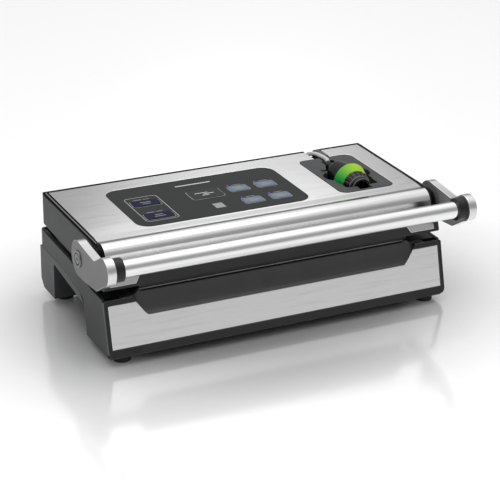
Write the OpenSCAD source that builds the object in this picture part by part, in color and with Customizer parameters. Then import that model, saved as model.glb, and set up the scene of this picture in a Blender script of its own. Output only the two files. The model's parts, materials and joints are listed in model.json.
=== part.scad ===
// Vacuum sealer: a bridge-shaped base, a hinged lid with a control panel and a docked
// hose connector, and a handle that swings up on the lid's two sides.
// X runs along the machine, Y towards its rear and Z up. The origin is on the surface
// it stands on, under the middle of the box around it.

/* [Base] */
// Width over the base shells
base_w = 390; // [388:1:394]
// Thickness of the shells' walls
wall = 3; // [2.6:0.1:3]
// Rear face of the base
rear_y = 116.8; // [116.5:0.1:117]
// Height of the deck that the bag lies on
deck_z = 66; // [65.5:0.1:66]
// Lean of the front face from upright
lean = 14.6; // [14:0.1:15]
// Height of the tunnel's roof at its rear
arch_z = 49.5; // [47:0.5:50]

/* [Lid] */
// Width over the lid
lid_w = 386; // [384:1:387]
// Height of the lid's top
top_z = 118.3; // [118:0.1:119]
// Rear face of the lid
lid_rear = 114; // [113.5:0.1:114]
// Thickness of the steel sheet
sheet = 1.2; // [1:0.1:1.2]
// Width of the steel skin on the lid
skin_w = 376; // [374:1:377]
// Steepness of the lid's front, as run over rise
slope = 0.36; // [0.35:0.01:0.37]

/* [Handle] */
// Radius of the handle's tube
tube_r = 9; // [8.5:0.1:9.2]
// Length of tube between the collars
tube_len = 376.4; // [376:0.1:376.8]
// Distance of the handle's tube in front of the origin
tube_y = -102.5; // [-103:0.5:-102]
// Height of the handle's tube
tube_z = 114.6; // [114:0.1:115]
// Distance of the handle's pivot from the origin
pivot_y = -35; // [-35.5:0.5:-34.5]
// Height of the handle's pivot
pivot_z = 102; // [101.5:0.1:102.5]
// Thickness of the handle's arms
arm_t = 9; // [8.5:0.1:9.5]

/* [Controls] */
// Width of the control panel
panel_w = 197.5; // [197:0.1:198]
// Depth of the control panel
panel_d = 106.5; // [106:0.1:107]
// Height that the keys stand above the panel
key_up = 0.6; // [0.5:0.1:0.8]

/* [Hose connector] */
// Largest radius of the coloured ring
ring_r = 20; // [19.6:0.1:20.2]
// Radius of the hose
hose_r = 2.5; // [2.3:0.1:2.5]

/* [Hidden] */
$fn = 48;

// fits
slip = 0.03; // radial play of a shaft in its bush
gap = 0.3; // play between shells

// base outline
half_w = base_w / 2;
part_z = 55.8; // height of the seam between the two shells
leg_y = -20.5; // rear of the front leg
beam_y = 75; // front of the rear beam
beam_z = 8.5; // underside of the rear beam
sole_z = 6; // underside of the front leg
rim_rear_z = 76; // top of the base's rear wall
rim_front_z = 66.5; // top of the base at its front
bezel_t = 4;
front_at_60 = -70.6; // the bezel's face at the steel panel's top edge
panel_top_z = 61.3;
panel_foot_z = 17.4;
seam_z = 71; // top of the scoop, just under the lid's lip
function front_y(z) = front_at_60 - (panel_top_z - z) * tan(lean);
function up_front(z) = z / cos(lean);

// hinge
hinge_y = 110.5;
hinge_z = 79.8;
knuckle_r = 3.1;
pin_r = 1.5;
hinge_x = 92; // middle of each hinge
knuckle_w = 14;

// lid outline
lip_z = 79.5; // lower edge of the steel
bend_y = -53.5; // where the top would meet the sloping front
bend_r = 14.8;
skin_rear = 106.5; // rear edge of the steel skin
top_in = top_z - sheet - 2.5; // underside of the housing's top
function slope_y(z, inset = 0) = bend_y + inset / cos(atan(slope)) - (top_z - z) * slope;
notch_top_z = 96;
plate_z = 84.5; // underside of the lid's inner plate
plate_t = 2.5;

// sealing parts
gasket_w = 326;
gasket_d = 64;
gasket_y = 13;
gasket_t = 7;
gasket_z = 75; // where the two gaskets meet
seal_y = -32;
seal_top = 71;

// controls: [x, y, width, depth] of each key
panel_x = -36.6;
panel_y = 30.4;
key_size = [22, 15];
mode_size = [31, 15.5];
start_size = [36, 23];
key_cols = [3, 35];
key_rows = [36.5, 0];
start_at = [-36.4, 35.5];
mode_x = -104.5;
keys = [
    [start_at.x, start_at.y, start_size.x, start_size.y],
    for (y = key_rows) [mode_x, y, mode_size.x, mode_size.y],
    for (y = key_rows) for (x = key_cols) [x, y, key_size.x, key_size.y]
];
key_play = 0.3;
board_z = 108;
board_t = 1.6;
dome_h = 1.4;
stem_gap = 0.6; // stem above its dome

// dock and connector
dock_x = 130.5;
dock_y = 30.5;
dock_w = 64.6;
dock_d = 104.6;
con_x = 129.5;
con_z = 113.5;
con_tilt_y = 66; // centre of the hose's swivel
core_r = 14.5; // the connector inside its ring
nozzle_y = 6; // where the nozzle meets the ring
mouth_y = -8;
mouth_r = 9;
well = [130, 26.5, 55, 27]; // oval beside the connector: x, y, width, depth
hose_notch = [119.3, 139]; // the hose's way over the lid's rear edge
way_z = 115.6; // floor of that way

// handle
collar_r = 12;
arm_in = 198.5;
arm_out = arm_in + arm_t;
hub_r = 19;
end_r = 14.3;
axle_r = 3;
latch_x = 172;
finger_len = 18;

// helpers
function flat(p) = [p[0], p[1]];
function unit(v) = v / norm(v);
function turned(p, a) = [p.x * cos(a) - p.y * sin(a), p.x * sin(a) + p.y * cos(a)];
// the corner b between a and c, rounded to radius r
function bend(a, b, c, r, n = 6) =
    let (u = unit(a - b), v = unit(c - b), half = acos(u * v) / 2, o = b + unit(u + v) * r / sin(half),
         p = b + u * r / tan(half) - o, q = b + v * r / tan(half) - o,
         turn = atan2(p.x * q.y - p.y * q.x, p * q))
    [for (i = [0 : n]) o + turned(p, turn * i / n)];
// an outline of [a, b, radius] corners
function rounded(c) =
    let (k = len(c))
    [for (i = [0 : k - 1])
        each c[i][2] > 0 ? bend(flat(c[(i + k - 1) % k]), flat(c[i]), flat(c[(i + 1) % k]), c[i][2])
                         : [flat(c[i])]];

module box(a, b) translate(a) cube(b - a);
module along_x(w) rotate([90, 0, 90]) linear_extrude(w, center = true) children();
module along_y(y0, y1) translate([0, y1, 0]) rotate([90, 0, 0]) linear_extrude(y1 - y0) children();
module level(z0, z1) translate([0, 0, z0]) linear_extrude(z1 - z0) children();
module both_sides() {
    children();
    mirror([1, 0, 0]) children();
}
module four_ways(x, y0, y1) for (sx = [-x, x], y = [y0, y1]) translate([sx, y, 0]) children();
module rounded_rect(w, d, r) {
    square([w - 2 * r, d], center = true);
    square([w, d - 2 * r], center = true);
    for (x = [-1, 1], y = [-1, 1]) translate([x * (w / 2 - r), y * (d / 2 - r)]) circle(r);
}
module rod_x(x0, x1, y, z, r) translate([x0, y, z]) rotate([0, 90, 0]) cylinder(x1 - x0, r = r);
module rod_y(y0, y1, x, z, r, r2 = 0)
    translate([x, y0, z]) rotate([-90, 0, 0]) cylinder(y1 - y0, r, r2 > 0 ? r2 : r);
module rod_z(x, y, z0, z1, r) translate([x, y, z0]) cylinder(z1 - z0, r = r);
// local frame on the leaning front: X along it, Y up it and Z out of it
module on_front() translate([0, front_y(0), 0]) rotate([90 - lean, 0, 0]) children();

// ---- base ----
base_side = [
    [rear_y, part_z, 0], [50, part_z, 6], [-11, 48.5, 8], [-18, 30, 12], [leg_y, 9, 0],
    [front_y(9) + 4.2, 9, 0], [front_y(rim_front_z) + 4.2, rim_front_z, 0], [-35, rim_front_z, 14],
    [25, 74.5, 30], [rear_y, rim_rear_z, 1.5]
];

module base_upper_shell() color([0.35, 0.36, 0.37]) {
    ledge_z = deck_z - 2.5;
    difference() {
        intersection() {
            along_x(base_w) polygon(rounded(base_side));
            translate([0, rear_y - 150, 0]) level(0, 100) rounded_rect(base_w, 300, 8);
        }
        translate([0, rear_y - wall - 150, 0]) level(-1, 100) rounded_rect(base_w - 2 * wall, 300, 5);
    }
    // ledges that carry the deck
    both_sides() box([half_w - wall - 5, -58, ledge_z - 3], [half_w - wall + 0.5, 108, ledge_z]);
}

// underside of the lower shell from the rear wall to the front sole
belly = [
    [rear_y - 0.2, part_z - gap], [rear_y - 0.2, 17], [110, 10], [107, beam_z], [beam_y, beam_z],
    [beam_y, arch_z - 1.5], [beam_y - 2, arch_z], [4, 42.2], [-9, 41], [-14, 36], [-17.3, 28],
    [leg_y + 0.5, sole_z], [front_y(sole_z) + 6, sole_z],
    [front_y(9) + 4.4, 8.8], [leg_y - 2.5, 8.8], [-20, 28.5], [-16.2, 38], [-10, 43.6], [4, 44.7],
    [beam_y - 1, arch_z + 2.5], [beam_y + 2.5, arch_z + 1], [beam_y + 2.5, 11], [106, 11], [108.5, 12.3],
    [113.5, 18], [113.5, part_z - gap]
];
lower_side = [
    [rear_y - 0.2, part_z - gap, 0], [50, part_z - gap, 6], [-4.6, 48.8, 0], [-12.9, 40.5, 0], [4, 42.2, 8],
    [beam_y - 2, arch_z, 0], [beam_y, arch_z - 1.5, 0], [beam_y, beam_z, 0], [107, beam_z, 0], [110, 10, 0],
    [rear_y - 0.2, 17, 0]
];
foot_x = 176.5;
foot_front_y = -69.6;
foot_rear_y = 94;
foot_r = 10;
screw_x = 165;
screw_front_y = -46;
screw_rear_y = 100;
inlet = [-145, 30]; // x and z of the power inlet
port = [40, 30]; // x and z of the hose port

module base_lower_shell() color([0.33, 0.34, 0.35]) difference() {
    union() {
        along_x(base_w - 2 * wall) polygon(belly);
        both_sides() translate([half_w - wall / 2, 0, 0]) along_x(wall) polygon(rounded(lower_side));
        // posts for the circuit board
        four_ways(60, -64, -32) translate([0, 0, 8]) cylinder(10, r = 3);
    }
    for (x = [-foot_x, foot_x]) {
        rod_z(x, foot_front_y, 0, 12, 3);
        rod_z(x, foot_rear_y, 0, 12, 3);
    }
    for (x = [-screw_x, screw_x]) {
        rod_z(x, screw_front_y, 0, 12, 1.6);
        rod_z(x, screw_front_y, 0, 7.8, 3.2);
        rod_z(x, screw_rear_y, 0, 12, 1.6);
        rod_z(x, screw_rear_y, 0, 9.8, 3.2);
    }
    box([inlet.x - 12.2, 108, inlet.y - 6.2], [inlet.x + 12.2, 120, inlet.y + 6.2]);
    rod_y(110, 120, port.x, port.y, 4);
}

// side line of the scoop that a bag slides over, from the panel's notch up to the seam
scoop = [[-74.6, 46.8], [-71.8, 49], [-69.6, 53], [-67.4, 58.5], [-65.2, 65], [-63.3, seam_z]];
notch_foot = [149.5, 46.8];
notch_head = [160.4, panel_top_z];

module notch_2d(more = 0) polygon([
    [-notch_head.x - 6, 74], [-notch_head.x - more, up_front(notch_head.y)],
    [-notch_foot.x - 1.5, up_front(notch_foot.y) + 2], [-notch_foot.x + 1.5, up_front(notch_foot.y)],
    [notch_foot.x - 1.5, up_front(notch_foot.y)], [notch_foot.x + 1.5, up_front(notch_foot.y) + 2],
    [notch_head.x + more, up_front(notch_head.y)], [notch_head.x + 6, 74]
]);

module panel_2d(play = 0) difference() {
    w = 190.7 + play;
    polygon([[-w, up_front(panel_foot_z) - play], [w, up_front(panel_foot_z) - play],
             [w, up_front(panel_top_z) + play], [-w, up_front(panel_top_z) + play]]);
    notch_2d();
}

module front_bezel() color([0.06, 0.06, 0.065]) difference() {
    union() {
        on_front() translate([0, 0, -bezel_t]) linear_extrude(bezel_t) polygon(rounded([
            [-half_w, up_front(9.5), 6], [half_w, up_front(9.5), 6],
            [half_w, up_front(rim_front_z), 2], [-half_w, up_front(rim_front_z), 2]
        ]));
        // raised middle that carries the scoop
        intersection() {
            along_x(2 * (half_w - wall - 1)) polygon([
                [front_y(42) + 2, 42], [front_y(rim_front_z) + 2, rim_front_z], [-66, seam_z],
                [-60.3, seam_z], [-60.3, 60], [-70, 42]
            ]);
            along_y(-90, -50) polygon([
                [-175, 40], [175, 40], [175, rim_front_z], [159, rim_front_z], [154.5, seam_z],
                [-154.5, seam_z], [-159, rim_front_z], [-175, rim_front_z]
            ]);
        }
    }
    on_front() translate([0, 0, -1.6]) linear_extrude(3) panel_2d(0.15);
    intersection() {
        along_x(380) polygon(concat(scoop, [[-63.3, 80], [-110, 80], [-110, 46.8]]));
        on_front() translate([0, 0, -25]) linear_extrude(35) notch_2d();
    }
}

module front_panel() color([0.72, 0.72, 0.72])
    on_front() translate([0, 0, -1.6]) linear_extrude(0.9) panel_2d();

deck_rim = [
    [112.8, 63.5, 0], [112.8, 74.6, 0], [25, 72.6, 20], [-35, 65.4, 8], [-60, 65.4, 0], [-60, 63.5, 0]
];
tray_w = 296;
tray_d = 38;
pipe_z = 59.2; // height of the pipe from the tray to the pump

module knuckle(z_far, w) {
    rod_x(-w / 2, w / 2, hinge_y, hinge_z, knuckle_r);
    box([-w / 2, hinge_y - 2.4, min(hinge_z, z_far)], [w / 2, hinge_y + 2.4, max(hinge_z, z_far)]);
}

module sealing_deck() color([0.05, 0.05, 0.055]) difference() {
    union() {
        intersection() {
            union() {
                box([-half_w, -60, deck_z - 2.5], [half_w, 112.8, deck_z]);
                both_sides() translate([half_w - wall - 1.6, 0, 0]) along_x(3) polygon(rounded(deck_rim));
            }
            translate([0, rear_y - wall - 0.2 - 150, 0]) level(0, 100)
                rounded_rect(base_w - 2 * wall - 0.2, 300, 5);
        }
        for (x = [-hinge_x, hinge_x]) translate([x, 0, 0]) knuckle(deck_z - 1, knuckle_w);
        // columns for the screws
        for (x = [-screw_x, screw_x]) {
            rod_z(x, screw_front_y, 9, deck_z - 1, 4.5);
            rod_z(x, screw_rear_y, 11.2, deck_z - 1, 4.5);
        }
    }
    translate([0, gasket_y, 0]) level(60, 70) rounded_rect(tray_w + 0.6, tray_d + 0.6, 8.3);
    rod_x(-200, 200, hinge_y, hinge_z, pin_r + slip);
    for (x = [-screw_x, screw_x]) {
        rod_z(x, screw_front_y, 0, 24, 1.45);
        rod_z(x, screw_rear_y, 0, 26, 1.45);
    }
    for (x = [-182, 182]) rod_z(x, 40, 60, 70, 2);
}

module drip_tray() color([0.1, 0.1, 0.11]) translate([0, gasket_y, 0]) difference() {
    union() {
        level(deck_z, deck_z + 1.5) rounded_rect(tray_w + 8, tray_d + 6, 11);
        level(50, deck_z) rounded_rect(tray_w, tray_d, 8);
        rod_y(tray_d / 2 - 1, tray_d / 2 + 3, 100, pipe_z, 3);
    }
    level(52, 70) rounded_rect(tray_w - 4, tray_d - 4, 6);
    rod_y(tray_d / 2 - 4, tray_d / 2 + 4, 100, pipe_z, 1.5);
}

module gasket(z0, z1) translate([0, gasket_y, 0]) level(z0, z1) difference() {
    rounded_rect(gasket_w, gasket_d, 14);
    rounded_rect(gasket_w - 2 * gasket_t, gasket_d - 2 * gasket_t, 7);
}

module lower_gasket() color([0.08, 0.08, 0.08]) gasket(deck_z, gasket_z);
module upper_gasket() color([0.08, 0.08, 0.08]) gasket(gasket_z + 0.5, plate_z);

module seal_bar_holder() color([0.12, 0.12, 0.13]) difference() {
    box([-160, seal_y - 6, deck_z], [160, seal_y + 6, seal_top]);
    both_sides() box([156.5, seal_y - 2.5, seal_top - 3], [158.5, seal_y + 2.5, seal_top + 1]);
}
module heating_wire() color([0.6, 0.58, 0.55]) {
    box([-158.5, seal_y - 2.25, seal_top], [158.5, seal_y + 2.25, seal_top + 0.4]);
    both_sides() box([156.6, seal_y - 2.25, seal_top - 2.8], [158.4, seal_y + 2.25, seal_top + 0.4]);
}
module release_strip() color([0.45, 0.36, 0.26])
    box([-156, seal_y - 5, seal_top + 0.4], [156, seal_y + 5, seal_top + 0.7]);
module press_strip() color([0.75, 0.75, 0.72])
    box([-158, seal_y - 5, seal_top + 1.1], [158, seal_y + 5, plate_z]);

// ---- pump and electrics ----
pump_y = 95;
pump_z = 40;
motor_r = 15;

module pump_motor() color([0.6, 0.61, 0.62]) difference() {
    union() {
        rod_x(6, 56, pump_y, pump_z, motor_r);
        rod_x(56, 59, pump_y, pump_z, 6);
        rod_x(1, 6, pump_y, pump_z, 5);
    }
    rod_x(48, 60, pump_y, pump_z, 2 + slip);
}
module pump_crank() color([0.7, 0.62, 0.35]) {
    rod_x(60, 66, pump_y, pump_z, 11);
    rod_x(50, 61, pump_y, pump_z, 2);
    rod_x(65, 68, pump_y, pump_z + 4, 1.5);
}
module pump_head() color([0.14, 0.14, 0.15]) {
    box([79, pump_y - 13, 24], [106, pump_y + 13, 55]);
    rod_z(100, pump_y, 54, 56, 3);
    rod_y(pump_y + 12, pump_y + 14.5, 92, pump_z, 4);
    // legs that tie the head to the motor's saddle
    box([66.5 + 2.5, pump_y - 13, 24], [80, pump_y + 13, 27]);
}
module pump_saddle() color([0.16, 0.16, 0.17]) difference() {
    box([12, pump_y - 14, 11.2], [79, pump_y + 10.5, 27]);
    rod_x(5, 60, pump_y, pump_z, motor_r + 0.05);
    rod_x(57, 90, pump_y, pump_z, 16);
    box([68, pump_y - 20, 24], [90, pump_y + 20, 40]);
}
module transformer() {
    color([0.3, 0.3, 0.32]) difference() {
        box([-112, 79.5, 12], [-56, 106, 58]);
        box([-105, 79, 20], [-92, 107, 50]);
        box([-76, 79, 20], [-63, 107, 50]);
    }
    color([0.7, 0.45, 0.15]) difference() {
        box([-104.5, 81, 20.5], [-63.5, 105, 49.5]);
        box([-92, 79, 20], [-76, 107, 50]);
    }
}
module power_board() color([0.1, 0.35, 0.2]) difference() {
    union() {
        box([-70, -68, 18], [70, -27, 19.6]);
        box([-60, -60, 19.5], [-30, -36, 34]);
        box([-20, -58, 19.5], [-2, -38, 30]);
        rod_z(18, -48, 19.5, 40, 9);
        box([34, -62, 19.5], [62, -34, 31]);
    }
    four_ways(60, -64, -32) cylinder(25, r = 1.3);
}
module solenoid_valve() color([0.2, 0.22, 0.5]) {
    box([122, 82, 11.2], [146, 104, 34]);
    rod_x(117, 123, 93, 24, 3);
    rod_z(134, 93, 33, 40, 3);
}
module vacuum_pipe() color([0.8, 0.82, 0.82]) {
    y0 = gasket_y + tray_d / 2 + 3;
    rod_y(y0, pump_y, 100, pipe_z, 3);
    translate([100, pump_y, pipe_z]) sphere(3);
    rod_z(100, pump_y, 56, pipe_z, 3);
}
module hose_port() color([0.1, 0.1, 0.11]) {
    rod_y(rear_y - 0.2, rear_y + 2, port.x, port.y, 8);
    rod_y(pump_y + 16, rear_y, port.x, port.y, 3.9);
    rod_y(rear_y + 1.5, rear_y + 8, port.x, port.y, 3.5);
}
module power_inlet() color([0.05, 0.05, 0.05]) {
    difference() {
        box([inlet.x - 12, 104, inlet.y - 6], [inlet.x + 12, rear_y - 0.2, inlet.y + 6]);
        for (x = [-4.3, 4.3]) rod_y(106, 120, inlet.x + x, inlet.y, 4);
        box([inlet.x - 4.3, 106, inlet.y - 4], [inlet.x + 4.3, 120, inlet.y + 4]);
    }
    for (x = [-4.3, 4.3]) rod_y(105, 114, inlet.x + x, inlet.y, 1.2);
}
module lid_switches() color([0.15, 0.15, 0.16]) both_sides() {
    box([178, 34, 52], [186, 54, 63.5]);
    rod_z(182, 40, 63, 68.5, 1.6);
}
module latch_catches() color([0.7, 0.7, 0.71]) both_sides() {
    for (x = [latch_x - 6, latch_x + 4.5]) box([x, -34, deck_z], [x + 1.5, -24, 90]);
    box([latch_x - 6, -34, deck_z], [latch_x + 6, -24, deck_z + 1.5]);
    rod_x(latch_x - 6, latch_x + 6, -29, 86.5, 1.5);
}
module hinge_pins() color([0.75, 0.75, 0.76])
    for (x = [-hinge_x, hinge_x]) rod_x(x - 21, x + 21, hinge_y, hinge_z, pin_r);
module base_screws() color([0.6, 0.6, 0.6]) for (x = [-screw_x, screw_x]) {
    rod_z(x, screw_front_y, sole_z + 0.2, 7.8, 3);
    rod_z(x, screw_front_y, 7, 22, 1.45);
    rod_z(x, screw_rear_y, beam_z + 0.1, 9.8, 3);
    rod_z(x, screw_rear_y, 9, 24, 1.45);
}
module foot(z) {
    rotate_extrude() polygon([[0, 0], [foot_r - 1.5, 0], [foot_r - 0.5, 0.8], [foot_r, z], [0, z]]);
    cylinder(z + 5, r = 3);
}
module rubber_feet() color([0.07, 0.07, 0.07]) for (x = [-foot_x, foot_x]) {
    translate([x, foot_front_y, 0]) foot(sole_z);
    translate([x, foot_rear_y, 0]) foot(beam_z);
}

// ---- lid ----
lid_side = [
    [lid_rear, 83, 0], [lid_rear, top_z, 5], [bend_y, top_z, bend_r], [slope_y(75.7), 75.7, 2.5],
    [-61, 75.7, 1], [20, 81, 30]
];
lid_hollow = [
    [lid_rear - 2.5, 60, 0], [lid_rear - 2.5, top_in, 3],
    [slope_y(top_in, sheet + 2.5), top_in, bend_r - sheet - 2.5], [slope_y(60, sheet + 2.5), 60, 0]
];
skin_line = [
    [skin_rear, top_z, 0], [bend_y, top_z, bend_r], [slope_y(lip_z), lip_z, 0],
    [slope_y(lip_z, sheet), lip_z, 0], [slope_y(top_z - sheet, sheet), top_z - sheet, bend_r - sheet],
    [skin_rear, top_z - sheet, 0]
];
// half widths of the notch in the front of the skin, at its foot and its head
lip_notch = [158.5, 147.4];

module lip_notch_2d(more = 0) polygon([
    [-lip_notch[0] - 3, lip_z - 5], [lip_notch[0] + 3, lip_z - 5], [lip_notch[0] + more, lip_z],
    [lip_notch[1] + more, notch_top_z + more], [-lip_notch[1] - more, notch_top_z + more],
    [-lip_notch[0] - more, lip_z]
]);
module panel_plan(play = 0) translate([panel_x, panel_y])
    rounded_rect(panel_w + 2 * play, panel_d + 2 * play, 15 + play);
module dock_plan(play = 0) translate([dock_x, dock_y])
    rounded_rect(dock_w + 2 * play, dock_d + 2 * play, 9 + play);
// room over the floor that the hose follows to the lid's rear edge
module hose_way(x0, x1) translate([(x0 + x1) / 2, 0, 0]) along_x(x1 - x0) polygon(rounded([
    [84, 130, 0], [84, way_z, 0], [97, way_z, 25], [lid_rear + 1, way_z - 7.4, 0], [lid_rear + 1, 130, 0]
]));
module key_plans(play) for (k = keys) translate([k[0], k[1]])
    rounded_rect(k[2] + 2 * play, k[3] + 2 * play, 2.5 + play);

module lid_skin() color([0.8, 0.8, 0.8]) difference() {
    along_x(skin_w) polygon(rounded(skin_line));
    along_y(-90, -40) lip_notch_2d();
    level(110, 125) panel_plan(0.15);
    level(110, 125) dock_plan(0.15);
    box([hose_notch[0], 80, 110], [hose_notch[1], skin_rear + 1, 125]);
}

boss_spots = [[-130, 76], [57, 76], [-130, -15], [57, -15]];
lid_screw_spots = [[-178, 92], [178, 92], [-178, 10], [178, 10]];

module lid_housing() color([0.3, 0.31, 0.32]) difference() {
    union() {
        difference() {
            intersection() {
                along_x(lid_w) polygon(rounded(lid_side));
                translate([0, lid_rear - 150, 0]) level(60, 130) rounded_rect(lid_w, 300, 6);
                along_y(-100, 130) polygon(rounded([
                    [-lid_w / 2, 60, 0], [lid_w / 2, 60, 0], [lid_w / 2, top_z, 3.5], [-lid_w / 2, top_z, 3.5]
                ]));
            }
            along_x(lid_w - 6) polygon(rounded(lid_hollow));
        }
        // lip that closes on the scoop
        along_x(308) polygon([
            [slope_y(82, sheet), 82], [-63.2, seam_z + 0.7], [-60.2, seam_z + 0.7], [-59, plate_z - 0.5],
            [slope_y(plate_z - 0.5, 3), plate_z - 0.5]
        ]);
        for (p = boss_spots) rod_z(p.x, p.y, board_z + board_t, top_in + 1, 3);
        for (p = lid_screw_spots) rod_z(p.x, p.y, plate_z + plate_t, top_in + 1, 4);
        for (x = [-hinge_x, hinge_x], s = [-1, 1])
            translate([x + s * (knuckle_w + 0.4), 0, 0]) knuckle(plate_z + plate_t + 1, knuckle_w);
        for (x = [-hinge_x, hinge_x]) box([x - 21.4, hinge_y - 2.4, 85], [x + 21.4, lid_rear - 1, 88]);
        // floor of the hose's way
        translate([(hose_notch[0] + hose_notch[1]) / 2, 0, 0]) along_x(hose_notch[1] - hose_notch[0] + 4)
            polygon([[82.6, top_in + 1], [82.6, way_z - 2.6], [97, way_z - 2.6],
                     [lid_rear - 2, way_z - 9.5], [lid_rear - 2, top_in + 1]]);
    }
    // seat of the steel skin
    difference() {
        along_x(skin_w + 0.4) polygon(rounded([
            [skin_rear + 0.2, 130, 0], [skin_rear + 0.2, top_z - sheet, 0],
            [slope_y(top_z - sheet, sheet), top_z - sheet, bend_r - sheet],
            [slope_y(lip_z - 0.2, sheet), lip_z - 0.2, 0], [-90, lip_z - 0.2, 0], [-90, 130, 0]
        ]));
        along_y(-90, -40) lip_notch_2d(-0.2);
    }
    level(110, 125) key_plans(key_play);
    level(110, 125) translate([dock_x, dock_y]) rounded_rect(dock_w - 4, dock_d - 0.6, 5);
    box([con_x - 4.2, 80, way_z], [con_x + 4.2, 85, 125]);
    hose_way(hose_notch[0], hose_notch[1]);
    for (p = boss_spots) rod_z(p.x, p.y, 100, board_z + 5, 1.2);
    for (p = lid_screw_spots) rod_z(p.x, p.y, 80, 104, 1.45);
    rod_x(-200, 200, hinge_y, hinge_z, pin_r + slip);
    rod_x(-200, 200, pivot_y, pivot_z, 7);
}

module lid_inner_plate() color([0.07, 0.07, 0.075]) difference() {
    box([-190, -57.5, plate_z], [190, hinge_y - 4, plate_z + plate_t]);
    both_sides() box([latch_x - 8, -53, 80], [latch_x + 8, -22, 90]);
    for (p = lid_screw_spots) {
        rod_z(p.x, p.y, 80, 90, 1.6);
        rod_z(p.x, p.y, 80, 86.2, 3.2);
    }
}

module control_overlay() color([0.26, 0.27, 0.27]) difference() {
    level(top_z - sheet, top_z) panel_plan();
    level(110, 125) key_plans(key_play);
    for (p = lens_spots) rod_z(p.x, p.y, 110, 125, 1.3);
}
lens_spots = [for (y = key_rows) for (x = key_cols) [x - 8.5, y + 10.5]];
module indicator_lenses() color([0.2, 0.35, 0.9]) for (p = lens_spots)
    rod_z(p.x, p.y, top_z - sheet, top_z + 0.2, 1.25);

module control_board() color([0.1, 0.35, 0.2]) difference() {
    box([panel_x - 97, -20, board_z], [panel_x + 97, 81, board_z + board_t]);
    for (p = boss_spots) rod_z(p.x, p.y, 100, 120, 1.2);
}
module dome_switches() color([0.75, 0.75, 0.72]) for (k = keys)
    rod_z(k[0], k[1], board_z + board_t, board_z + board_t + dome_h, 3);

module key(k) {
    translate([k[0], k[1], 0]) {
        level(top_in - 0.4, top_z + key_up) rounded_rect(k[2], k[3], 2.5);
        level(top_in - 1.6, top_in - 0.3) rounded_rect(k[2] + 2.6, k[3] + 2.6, 3);
        level(board_z + board_t + dome_h + stem_gap, top_in - 1.5) square(4, center = true);
    }
}
module key_start_stop() color([0.3, 0.31, 0.32]) key(keys[0]);
module key_mode_upper() color([0.1, 0.1, 0.3]) key(keys[1]);
module key_mode_lower() color([0.1, 0.1, 0.3]) key(keys[2]);
module key_rear_left() color([0.55, 0.6, 0.68]) key(keys[3]);
module key_rear_right() color([0.55, 0.6, 0.68]) key(keys[4]);
module key_front_left() color([0.55, 0.6, 0.68]) key(keys[5]);
module key_front_right() color([0.55, 0.6, 0.68]) key(keys[6]);

module dock_tray() color([0.28, 0.29, 0.29]) difference() {
    trough_r = ring_r + 2.7;
    union() {
        level(top_z - sheet, top_z) dock_plan();
        intersection() {
            union() {
                rod_y(-21.4, 74, con_x, con_z, trough_r);
                translate(flat(well)) level(98, top_z - 0.2) rounded_rect(well[2] + 4, well[3] + 4, 15);
                box([con_x - 6, 73, way_z - 8], [con_x + 6, 82.3, top_z - 0.2]);
            }
            box([dock_x - dock_w / 2 + 2.4, -22, 90], [dock_x + dock_w / 2 - 2.4, 82.4, top_z - 0.2]);
        }
        // catch on the trough's left edge
        box([dock_x - 21, 44.5, top_z - 0.5], [dock_x - 16.4, 48, top_z + 1.6]);
    }
    rod_y(-9.6, 8, con_x, con_z, ring_r);
    rod_y(4, 21, con_x, con_z, ring_r + 1.3);
    rod_y(20, 45, con_x, con_z, ring_r - 1.6, 15.4);
    rod_y(44.9, 61, con_x, con_z, 15.4, 7.6);
    rod_y(60, 72.5, con_x, con_z, 7.6);
    translate([con_x, 0, 0]) level(con_z, 125) polygon([
        [1.6 - ring_r, 20], [-15.4, 45], [-7.6, 61], [-7.6, 72],
        [7.6, 72], [7.6, 61], [15.4, 45], [ring_r - 1.6, 20]
    ]);
    // slot for the bottle's spigot
    rod_y(-19, -9, con_x, con_z - 1, 7.5);
    box([con_x - 7.5, -19, con_z - 1], [con_x + 7.5, -9, 125]);
    translate(flat(well)) level(100, 125) rounded_rect(well[2], well[3], 13);
    // way out for the hose
    translate([con_x, 0, 0]) along_x(8)
        polygon([[69, 112], [72, way_z - 0.2], [90, way_z - 0.2], [90, 125], [69, 125]]);
}
module hose_guide() color([0.04, 0.04, 0.045]) intersection() {
    hose_way(131, 138.8);
    level(100, 125) polygon([[134.2, 84.3], [138.8, 84.3], [138.8, 111], [131.4, 111]]);
    along_x(300) polygon(rounded([[84.3, 100, 0], [84.3, 119, 2], [111, 119, 4], [111, 100, 0]]));
}
module lid_screws() color([0.6, 0.6, 0.6]) for (p = lid_screw_spots) {
    rod_z(p.x, p.y, plate_z + 0.1, 86.2, 3);
    rod_z(p.x, p.y, 86, 102, 1.45);
}
module axle_bushes() color([0.12, 0.12, 0.13]) both_sides() difference() {
    union() {
        rod_x(lid_w / 2 - 4.5, lid_w / 2, pivot_y, pivot_z, 7);
        rod_x(lid_w / 2, arm_in - gap, pivot_y, pivot_z, 11);
    }
    rod_x(150, 210, pivot_y, pivot_z, axle_r + slip);
}

// ---- handle ----
module handle_tube() color([0.85, 0.85, 0.85]) rod_x(-tube_len / 2, tube_len / 2, tube_y, tube_z, tube_r);
module collar(s) color([0.1, 0.1, 0.105]) mirror([s, 0, 0])
    rod_x(tube_len / 2, arm_in, tube_y, tube_z, collar_r);
module handle_collar_left() collar(1);
module handle_collar_right() collar(0);

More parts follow.
